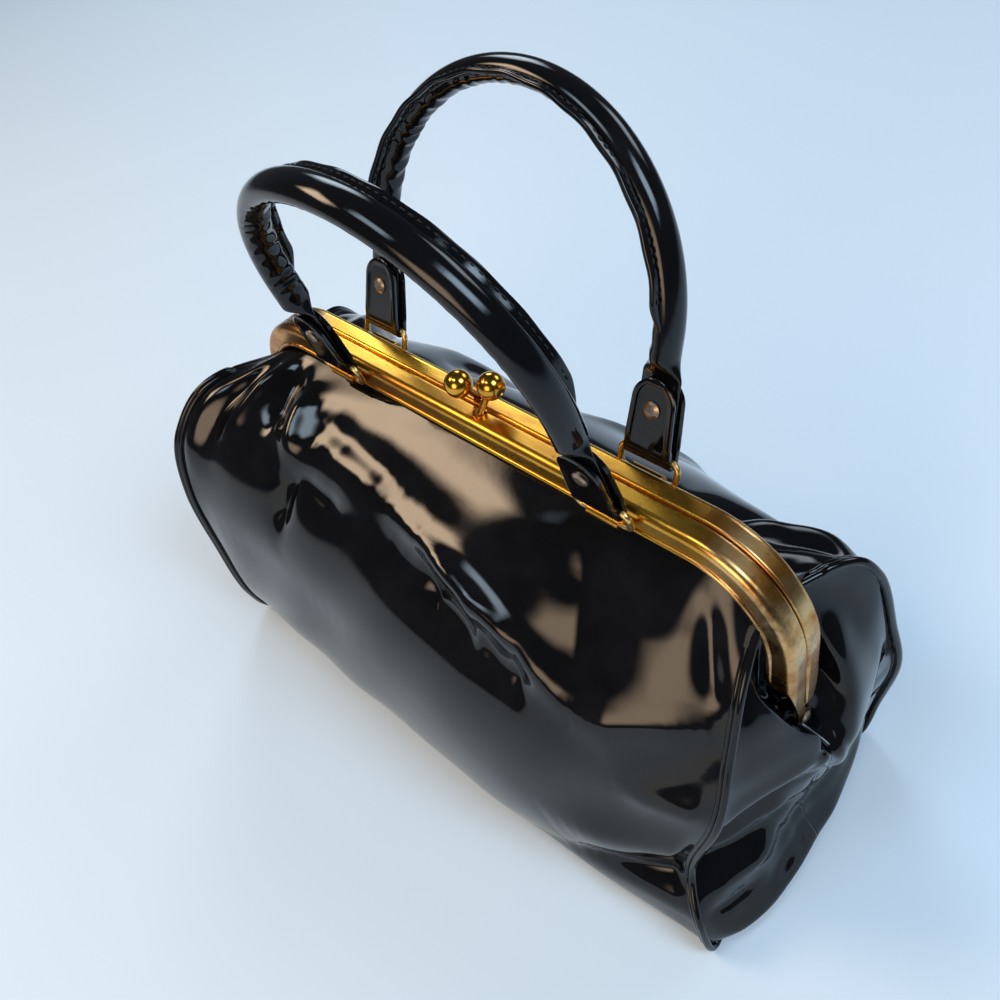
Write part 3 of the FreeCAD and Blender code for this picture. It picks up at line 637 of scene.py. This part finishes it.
# piping: a round cord along each end seam, and a slimmer turned edge beside it
# radius, then how far it lies outward along x and off the seam, in mm
pipingLook = {
    "Piping": (1.6, 1.0, 0.4), "TurnedEdge": (1.1, -1.3, 0.25),
    "around": 12, "offFloor": 0.1,
}
turn = np.linspace(0, 2 * np.pi, pipingLook["around"], endpoint=False)
for (sideName, end), seam in seams.items():
    side = 1 if sideName == "right" else -1
    outward = 1 if end == "rear" else -1
    run = np.gradient(seam, axis=0)
    run /= np.linalg.norm(run, axis=1, keepdims=True)
    across = np.cross(run, [side, 0, 0])
    across *= np.sign(across[:, 1:2] * outward + 1e-6) / np.linalg.norm(across, axis=1, keepdims=True)
    for kind in ("Piping", "TurnedEdge"):
        radius, alongX, offSeam = pipingLook[kind]
        path = seam + [side * alongX, 0, 0] + across * offSeam
        path[:, 2] = np.maximum(path[:, 2], radius + pipingLook["offFloor"])
        profile = np.stack([np.cos(turn), np.sin(turn)], -1) * radius
        name = sideName + end.capitalize() + kind
        cord = carried(name, path, profile, skinFinish, up=(side, 0, 0), flip=side < 0)
        follow(cord)
        if end == "front" and kind == "Piping":
            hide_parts(sideName + "_piping")
print("stage: piping made")

# cloth floor of the bag: laid on the board, narrower at the pinched end, turned up all round
# front and rear give its half depth at the left end, the middle and the right end, in mm
clothLook = {
    "front": [64.5, 66.6, 56.7], "rear": [59.1, 66.6, 52.6], "grid": (80, 50),
    "inset": 1.0, "turnUp": 14.0, "edge": 0.9, "lift": 0.7, "thick": 0.6,
    "ripple": 0.4, "ripplePitch": (0.09, 0.12),  # waves along x and y
}


# the cloth's height is its lift, an eased turn-up toward the rim, squared, and a small sine ripple
def layFloorCloth(look):
    lo, hi = (np.array(c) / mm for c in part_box("base_lining"))
    acrossX = np.linspace(lo[0] + look["inset"], hi[0] - look["inset"], look["grid"][0])
    gx, across = np.meshgrid(acrossX, np.linspace(-1, 1, look["grid"][1]), indexing="ij")
    widths = [lo[0], 0, hi[0]]
    frontEdge, rearEdge = (np.interp(gx, widths, look[k]) - look["inset"] for k in ("front", "rear"))
    gy = np.where(across < 0, across * frontEdge, across * rearEdge)
    fromMiddle = (gx - (lo[0] + hi[0]) / 2) / ((hi[0] - lo[0]) / 2 - look["inset"])
    rim = np.maximum(np.abs(fromMiddle), np.abs(across))
    turnedUp = look["turnUp"] * ease(look["edge"], 1.0, rim) ** 2
    pitchX, pitchY = look["ripplePitch"]
    ripple = look["ripple"] * np.sin(gx * pitchX) * np.cos(gy * pitchY)
    gz = lo[2] + look["lift"] + turnedUp + ripple
    floorCloth = gridPiece("floorCloth", np.stack([gx, gy, gz], -1), clothFinish)
    addWall(floorCloth, look["thick"], offset=0)
    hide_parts("base_lining")
    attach(floorCloth, "bag")


layFloorCloth(clothLook)
print("stage: floor cloth laid")

# padded handles, in mm; flat is the strap between a tab's two faces
# sway and twist of the crinkle: how much, pitch; beat: mean, how much, pitch
handleLook = {
    "leg": 43.0, "radial": 4.9, "side": 6.4, "strapFoot": 5.0, "flatTop": 29.6, "fullAt": 37.5,
    "flatRadial": 8.0, "flatSide": 1.15, "steps": 620, "around": 48, "seeds": {"front": 11, "rear": 12},
    "crinkle": 0.11, "crinkleSide": 0.03, "crinklePlace": (78, 34), "crinkleLeast": 0.35, "pinch": 0.6,
    "pitch": 0.95, "sway": (2.2, 0.13), "twist": (1.6, 2), "sharp": 0.96, "zigzagSize": 1.3,
    "beat": (0.6, 0.4, 0.31), "innerSide": (-0.2, 1.0),
}


# centre line of a handle, upright: up the left leg, over the half round, down the right leg
def handlePath(foot, steps):
    r, leg = ringLook["place"], handleLook["leg"]
    rise, turnLength = leg - foot, math.pi * r
    s = np.linspace(0, 2 * rise + turnLength, steps)
    a = np.clip((s - rise) / r, 0, math.pi)
    x = -r * np.cos(a)
    downLeg = foot + 2 * rise + turnLength - s
    arch = np.where(s > rise + turnLength, downLeg, leg + r * np.sin(a))
    return np.stack([x, 0 * x, np.where(s < rise, foot + s, arch)], -1), s


# direction across a handle's plane: y turned by the lean
def handleUp(end):
    side, angle = lean[end]
    a = math.radians(angle) * -side
    return (0, math.cos(a), math.sin(a))


# grip: an oval carried along the handle that flattens to a strap at both ends; on the inner side of
# the bend a zigzag of its length and turn squeezes it, most above the legs
def gripPiece(end):
    look = handleLook
    path, s = handlePath(look["strapFoot"], look["steps"])
    fromEnd = np.minimum(s, s[-1] - s) + look["strapFoot"]
    full = ease(look["flatTop"], look["fullAt"], fromEnd)[:, None]
    around = np.linspace(0, 2 * np.pi, look["around"], endpoint=False)[None]
    phase = np.random.default_rng(look["seeds"][end]).uniform(0, 6.28, 5)
    inner = ease(*look["innerSide"], -np.cos(around))
    (swayBy, swayPitch), (twistBy, twistPitch) = look["sway"], look["twist"]
    pitch = s * look["pitch"] + swayBy * np.sin(s * swayPitch + phase[0]) + phase[1]
    twisted = pitch[:, None] + twistBy * np.sin(around * twistPitch + phase[2])
    zigzag = np.arcsin(look["sharp"] * np.sin(twisted)) / look["zigzagSize"]
    beatMean, beatBy, beatPitch = look["beat"]
    ripple = zigzag * (beatMean + beatBy * np.sin(s * beatPitch + phase[3]))[:, None] * inner
    near = (hump(fromEnd, *look["crinklePlace"]) + look["crinkleLeast"])[:, None] * full
    radial = (look["flatRadial"] + (look["radial"] - look["flatRadial"]) * full) * np.cos(around)
    sideways = (look["flatSide"] + (look["side"] - look["flatSide"]) * full) * np.sin(around)
    squeeze = 1 - look["crinkle"] * (look["pinch"] * inner + ripple) * near
    profile = np.stack([radial * squeeze, sideways * (1 - look["crinkleSide"] * ripple * near)], -1)
    grip = carried(end + "Grip", leaned(path, end), profile, gripFinish, up=handleUp(end))
    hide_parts(end + "_grip", end + "_core")
    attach(grip, end + "_handle")


weltLook = {
    "start": 42.0, "thick": 1.0, "reach": 3.6, "taper": 16.0, "steps": 300, "around": 16,
    "sunk": 0.4, "endSunk": 1.6, "overlap": 0.6, "endWidth": 0.25,
    "wobble": (0.25, 0.35),  # how much, pitch
    "stitch": 3.1, "thread": 0.32, "stitchOut": 1.6, "stitchShare": 0.36, "stitchGrid": (7, 6),
    "stitchLift": 0.10, "stitchDip": 0.28, "pathSteps": 2000,
}


# the sine or cosine of a boxy oval: its sign times the square root of its size
def boxy(value):
    return np.sign(value) * np.abs(value) ** 0.5


# welt: a thin boxy oval carried along the side of the grip that faces the other handle, drawn in
# at both ends, with a row of stitches
def weltPiece(end):
    look = weltLook
    inward = 1 if end == "front" else -1
    path, s = handlePath(look["start"], look["steps"])
    a = np.linspace(0, 2 * np.pi, look["around"], endpoint=False)
    drawn = ease(0, look["taper"], np.minimum(s, s[-1] - s))[:, None]
    wide = (look["reach"] / 2 + look["overlap"]) * (look["endWidth"] + (1 - look["endWidth"]) * drawn)
    seat = handleLook["side"] - look["sunk"] - look["endSunk"] * (1 - drawn)
    middle = seat + look["reach"] / 2 * drawn
    wobbleBy, wobblePitch = look["wobble"]
    wobble = wobbleBy * np.sin(s * wobblePitch)[:, None]
    across = inward * middle + wide * boxy(np.sin(a))
    profile = np.stack([look["thick"] * boxy(np.cos(a)) + wobble, across + 0 * wobble], -1)
    welt = carried(end + "Welt", leaned(path, end), profile, gripFinish, up=handleUp(end))
    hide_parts(end + "_welt")
    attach(welt, end + "_handle")
    stitches(end + "WeltStitches", end, inward * (handleLook["side"] + look["stitchOut"]))


# stitches: one short thread, bent down toward its two ends by the square of the distance from its
# middle and thinned by its fourth power, repeated along both faces of the welt
def stitches(name, end, offset):
    look = weltLook
    path, s = handlePath(look["start"], look["pathSteps"])
    count = int((s[-1] - 2 * look["taper"]) / look["stitch"])
    at = np.linspace(look["taper"], s[-1] - look["taper"], count)
    centre = np.stack([np.interp(at, s, path[:, k]) for k in range(3)], -1)
    along = np.stack([np.interp(at, s, np.gradient(path[:, k], s)) for k in range(3)], -1)
    out = np.cross([0, 1, 0], along)
    e = np.linspace(-1, 1, look["stitchGrid"][0])
    a = np.linspace(0, 2 * np.pi, look["stitchGrid"][1], endpoint=False)
    half = look["stitch"] * look["stitchShare"]
    pieces = []
    for face in (-1, 1):
        lift = face * (look["thick"] + look["stitchLift"] - look["stitchDip"] * e ** 2)
        ring = look["thread"] * np.sqrt(np.clip(1 - 0.9 * e ** 4, 0.05, 1))
        local = (centre[:, None, None] + along[:, None, None] * (e * half)[None, :, None, None]
                 + out[:, None, None] * (lift[:, None] + ring[:, None] * np.cos(a))[None, ..., None]
                 + np.array([0, 1, 0]) * (offset + ring[:, None] * np.sin(a))[None, ..., None])
        pieces.append(local)
    p = leaned(np.concatenate(pieces, 0), end) * mm
    blocks, rings, corners = p.shape[:3]
    one = np.arange(rings * corners).reshape(rings, corners)
    following = np.roll(one, -1, 1)
    quads = np.stack([one[:-1], following[:-1], following[1:], one[1:]], -1).reshape(-1, 4)
    faces = (quads[None] + (np.arange(blocks) * rings * corners)[:, None, None]).reshape(-1, 4)
    mesh = bpy.data.meshes.new(name)
    mesh.from_pydata(p.reshape(-1, 3).tolist(), [], faces.tolist())
    thread = finishMesh(name, mesh, threadFinish)
    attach(thread, end + "_handle")


tabLook = {
    "inner": 1.3, "skin": 1.65, "length": 29.0, "half": 8.8, "footHalf": 9.9,
    "rim": 0.45, "rimPlace": (1.1, 0.9), "rimFrom": (2, 6), "grid": (140, 34),
    "bevel": 0.5, "bevelSteps": 3, "bevelAngle": 50,
}


# folded tab: a strap down one face, round the ring's upper bar and up the other; its half width tapers
# from the foot and ends in a half circle, and a raised rim follows the edge
def tabPiece(end, sideName):
    look = tabLook
    r = look["inner"] + look["skin"] / 2
    flat, fold = look["length"], math.pi * r
    s = np.linspace(-(flat + fold / 2), flat + fold / 2, look["grid"][0])
    b = np.linspace(-1, 1, look["grid"][1])
    up = np.abs(s) - fold / 2
    a = np.clip(s / r, -math.pi / 2, math.pi / 2)
    y = r * np.sin(a)
    z = np.where(up > 0, up, -r * np.cos(a))
    straightTo = flat - look["half"]
    taper = look["footHalf"] + (look["half"] - look["footHalf"]) * np.clip(z / straightTo, 0, 1)
    over = np.clip((z - straightTo) / look["half"], 0, 0.999)
    half = taper * np.sqrt(1 - over ** 2)
    x = half[:, None] * np.sin(b * math.pi / 2)[None]
    edge = np.minimum(half[:, None] * (1 - np.abs(np.sin(b * math.pi / 2)))[None], (flat - z)[:, None])
    raised = look["rim"] * hump(edge, *look["rimPlace"]) * ease(*look["rimFrom"], z)[:, None]
    face = np.sign(y)[:, None] * raised
    side = 1 if sideName == "right" else -1
    p = np.stack([x + side * ringLook["place"], y[:, None] + face + 0 * x, z[:, None] + 0 * x], -1)
    tab = gridPiece(f"{end}{sideName.capitalize()}Tab", leaned(p, end), gripFinish, flip=True)
    addWall(tab, look["skin"], offset=0)
    soft = tab.modifiers.new("edge", "BEVEL")
    soft.width = look["bevel"] * mm
    soft.segments = look["bevelSteps"]
    soft.limit_method = "ANGLE"
    soft.angle_limit = math.radians(look["bevelAngle"])
    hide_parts(f"{end}_{sideName}_tab")
    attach(tab, end + "_handle")


for end in ("front", "rear"):
    gripPiece(end)
    weltPiece(end)
    tabPiece(end, "left")
    tabPiece(end, "right")
print("stage: handles made")

# finishes of the solids that stay in view, by the end of a node's name
cadFinish = {
    "frame": giltFinish, "clasp_post": ballFinish, "clasp_ball": ballFinish, "lug": giltFinish,
    "ring": ringFinish, "hinge_rivet": rivetFinish, "rivet": rivetFinish,
    "channel_cord": cordFinish, "board": boardFinish,
}
for name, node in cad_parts.items():
    kind = next((k for k in cadFinish if name.endswith(k)), None)
    if kind and not node.hide_render:
        node.data.materials.clear()
        node.data.materials.append(cadFinish[kind])
print("stage: metal finished")

# floor, reach and drop in mm
stageLook = {
    "floor": (0.75, 0.87, 1.0), "reach": 4000.0, "drop": 0.2,
    "cells": 24, "cloudScale": 3.0, "paler": 1.03, "rough": 0.6,
}


# a flat square grid just below the bag, of one colour with faint paler clouds
def plainFloor(look):
    n = newFinish("floorPaper")
    cloud = n.noise(look["cloudScale"], 3, 0.5)
    pale = tuple(min(1.0, c * look["paler"]) for c in look["floor"])
    finish = n.set(Base_Color=n.mix(cloud, look["floor"], pale), Roughness=look["rough"])
    e = np.linspace(-1, 1, look["cells"]) * look["reach"]
    x, y = np.meshgrid(e, e, indexing="ij")
    piece = gridPiece("floor", np.stack([x, y, 0 * x - look["drop"]], -1), finish)


plainFloor(stageLook)

# camera as in the photograph: angles in degrees, lens, sensor, target and distance in mm,
# and the nearest that it sees in metres
cameraLook = {
    "azimuth": 54.19, "elevation": 46.04, "roll": 14.78, "lens": 37.3,
    "target": (11.91, -10.80, 135.59), "distance": 413.36, "sensor": 36, "nearest": 0.01,
}


# the camera stands off from its target by the distance, along the direction of its azimuth and
# elevation, and its picture is turned by the roll
def aimCamera(look):
    a, e, r = (math.radians(look[k]) for k in ("azimuth", "elevation", "roll"))
    back = Vector((math.sin(a) * math.cos(e), -math.cos(a) * math.cos(e), math.sin(e)))
    right = (-back).cross(Vector((0, 0, 1))).normalized()
    down = (-back).cross(right)
    imageX = math.cos(r) * right + math.sin(r) * down
    imageDown = -math.sin(r) * right + math.cos(r) * down
    data = bpy.data.cameras.new("camera")
    data.lens = look["lens"]
    data.sensor_width = look["sensor"]
    data.clip_start = look["nearest"]
    camera = bpy.data.objects.new("camera", data)
    place = Matrix((imageX, -imageDown, back)).transposed().to_4x4()
    place.translation = (Vector(look["target"]) + back * look["distance"]) * mm
    camera.matrix_world = place
    bpy.context.scene.collection.objects.link(camera)
    bpy.context.scene.camera = camera


aimCamera(cameraLook)

# soft boxes: place and size in metres, power, colour, all turned to the bag
lightLook = {
    "ceiling": ((-0.99, -0.59, 1.21), (0.85, 0.56), 9, (1.0, 0.74, 0.50)),
    "front": ((0.40, -1.52, 0.74), (1.32, 1.18), 11, (1.0, 0.74, 0.50)),
    "window": ((1.05, 0.12, 1.40), (0.97, 0.97), 14, (0.60, 0.81, 1.0)),
    "left": ((-1.35, 1.15, 1.3), (1.10, 0.97), 10, (0.74, 0.88, 1.0)),
    "rear": ((0.3, 1.7, 1.3), (1.24, 0.83), 7, (0.78, 0.89, 1.0)),
    "top": ((-0.25, -0.75, 1.75), (0.90, 0.70), 6.5, (0.68, 0.85, 1.0)),
}
boxLook = {"aim": (0, 0, 0.12), "fade": 0.35, "gain": 2.37}  # aim in metres, fade in lamp sides


# a lamp's strength is the product of two ramps, each rising from nothing at its edges to one
# at the fade's distance in from them, times a gain that gives the lost light back
def fadeAtEdges(data):
    data.use_nodes = True
    n = Nodes(data.node_tree)
    split = n.add("SeparateXYZ")
    n.link(n.add("NewGeometry").outputs["Parametric"], split.inputs["Vector"])
    ramps = []
    for axis in ("X", "Y"):
        share = split.outputs[axis]
        ramp = n.add("MapRange", interpolation_type="SMOOTHSTEP", From_Max=boxLook["fade"])
        n.link(n.math("MINIMUM", share, n.math("SUBTRACT", 1.0, share)), ramp.inputs["Value"])
        ramps.append(ramp.outputs["Result"])
    glow = n.math("MULTIPLY", ramps[0], ramps[1])
    n.link(n.math("MULTIPLY", glow, boxLook["gain"]), n.tree.nodes["Emission"].inputs["Strength"])


# a rectangular lamp at its place; its face is turned along the line from there to the aim
def softBox(name, place, size, power, colour):
    data = bpy.data.lights.new(name, "AREA")
    data.shape = "RECTANGLE"
    data.size, data.size_y = size
    data.energy = power
    data.color = colour
    fadeAtEdges(data)
    lamp = bpy.data.objects.new(name, data)
    lamp.location = place
    lamp.rotation_euler = (Vector(boxLook["aim"]) - Vector(place)).to_track_quat("-Z", "Y").to_euler()
    bpy.context.scene.collection.objects.link(lamp)


for name, look in lightLook.items():
    softBox(name, *look)

roomLook = {"colour": (0.55, 0.63, 0.74, 1), "strength": 0.11}
world = bpy.data.worlds.new("room")
world.use_nodes = True
background = world.node_tree.nodes["Background"]
background.inputs["Color"].default_value = roomLook["colour"]
background.inputs["Strength"].default_value = roomLook["strength"]
bpy.context.scene.world = world
bpy.context.scene.view_settings.view_transform = "Standard"
print("stage: camera and light set")
